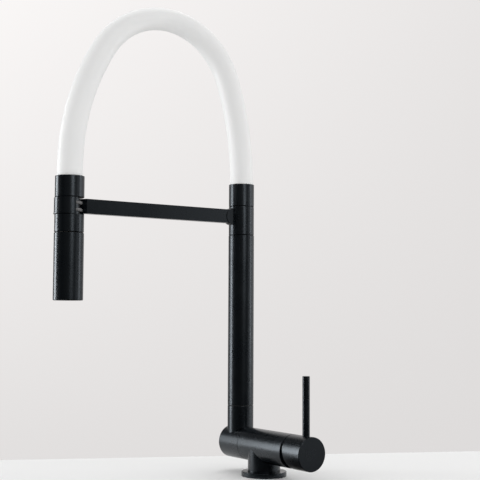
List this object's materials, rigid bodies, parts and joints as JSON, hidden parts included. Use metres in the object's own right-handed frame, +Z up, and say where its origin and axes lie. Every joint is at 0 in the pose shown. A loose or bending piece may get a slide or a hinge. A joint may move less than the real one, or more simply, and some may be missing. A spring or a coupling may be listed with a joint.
{
  "type": "fold-down kitchen mixer with pull-out handset",
  "caption": "Single-lever kitchen mixer that folds down: a swivelling riser with a docking arm feeds a hose arch to a pull-out handset with a turning spray barrel.",
  "frame": {"origin": "centre of the flange's underside, on the worktop, under the post", "axes": "+X along the barrel to the lever end, -Y towards the handset, +Z up"},
  "size_m": [0.142, 0.254, 0.5455],
  "materials": {
    "black_paint": "satin",
    "black_neck": "satin",
    "white_silicone": "matte",
    "hose_core": "matte",
    "black_rubber": "matte",
    "grey_rubber": "matte",
    "steel": "brushed",
    "brass": "turned",
    "natural_plastic": "matte",
    "white_ceramic": "lapped",
    "black_plastic": "matte"
  },
  "bodies": {
    "mixer": {"base_flange": "black_paint", "base_gasket": "black_rubber", "mixer_body": "black_paint", "mounting_stud": "steel", "clamp_gasket": "black_rubber", "clamp_plate": "steel", "stud_nut": "brass", "cartridge_base": "natural_plastic", "cartridge_seals": "black_rubber", "cartridge_housing": "natural_plastic", "ceramic_disc_fixed": "white_ceramic", "cartridge_nut": "black_paint", "fold_spindle": "brass", "spindle_seals": "black_rubber", "spindle_clip": "steel", "fold_washer": "black_plastic"},
    "knuckle": {"fold_knuckle": "black_paint", "knuckle_cap": "black_paint", "fold_stop_pin": "steel", "riser_socket": "black_paint", "riser_nipple": "brass", "nipple_seals": "black_rubber", "nipple_clip": "steel", "swivel_washer": "black_plastic"},
    "riser": {"riser_foot": "brass", "riser_tube": "black_paint", "riser_head": "black_paint", "arm_ring": "black_paint", "docking_arm": "black_paint", "hose_ferrule": "black_paint", "riser_crimp": "steel", "white_hose": "white_silicone", "inner_hose": "hose_core"},
    "handset": {"spray_collar": "black_paint", "spray_crimp": "steel", "spray_neck": "black_neck", "neck_rings": "grey_rubber", "check_valve": "natural_plastic", "spray_sleeve": "black_paint", "spray_core": "natural_plastic", "core_clip": "steel", "spray_diverter": "natural_plastic"},
    "spray_head": {"spray_barrel": "black_paint", "spray_face": "black_plastic", "spray_jets": "black_rubber", "aerator": "steel"},
    "rotor": {"cartridge_rotor": "natural_plastic", "stem_pin": "steel"},
    "disc_slide": {"ceramic_disc_moving": "white_ceramic", "disc_carrier": "natural_plastic"},
    "handle": {"cartridge_stem": "steel", "handle_cap": "black_paint", "handle_lever": "black_paint"}
  },
  "joints": [
    {"name": "fold", "type": "hinge", "parent": "mixer", "child": "knuckle", "pos_m": [-0.043, 0, 0.031], "axis": [1, 0, 0], "range_deg": [0, 90]},
    {"name": "swivel", "type": "hinge", "parent": "knuckle", "child": "riser", "pos_m": [-0.044, 0, 0.0715], "axis": [0, 0, 1], "continuous": true},
    {"name": "undock", "type": "slide", "parent": "riser", "child": "handset", "axis": [0.7314, 0.682, 0], "range_m": [0, 0.04], "deforming": ["white_hose", "inner_hose", "neck_rings"]},
    {"name": "jet_select", "type": "hinge", "parent": "handset", "child": "spray_head", "pos_m": [-0.044, -0.2112, 0.22], "axis": [0, 0, 1], "range_deg": [0, 90]},
    {"name": "temperature", "type": "hinge", "parent": "mixer", "child": "rotor", "pos_m": [0.0525, 0, 0.031], "axis": [1, 0, 0], "range_deg": [-45, 45]},
    {"name": "flow", "type": "hinge", "parent": "rotor", "child": "handle", "pos_m": [0.0525, 0, 0.031], "axis": [0, 1, 0], "range_deg": [0, 25]},
    {"name": "disc_push", "type": "slide", "parent": "rotor", "child": "disc_slide", "axis": [0, 0, 1], "range_m": [0, 0.00498]}
  ],
  "couplings": [
    {"joint": "disc_push", "follows": "flow", "m_per_rad": 0.011409}
  ]
}
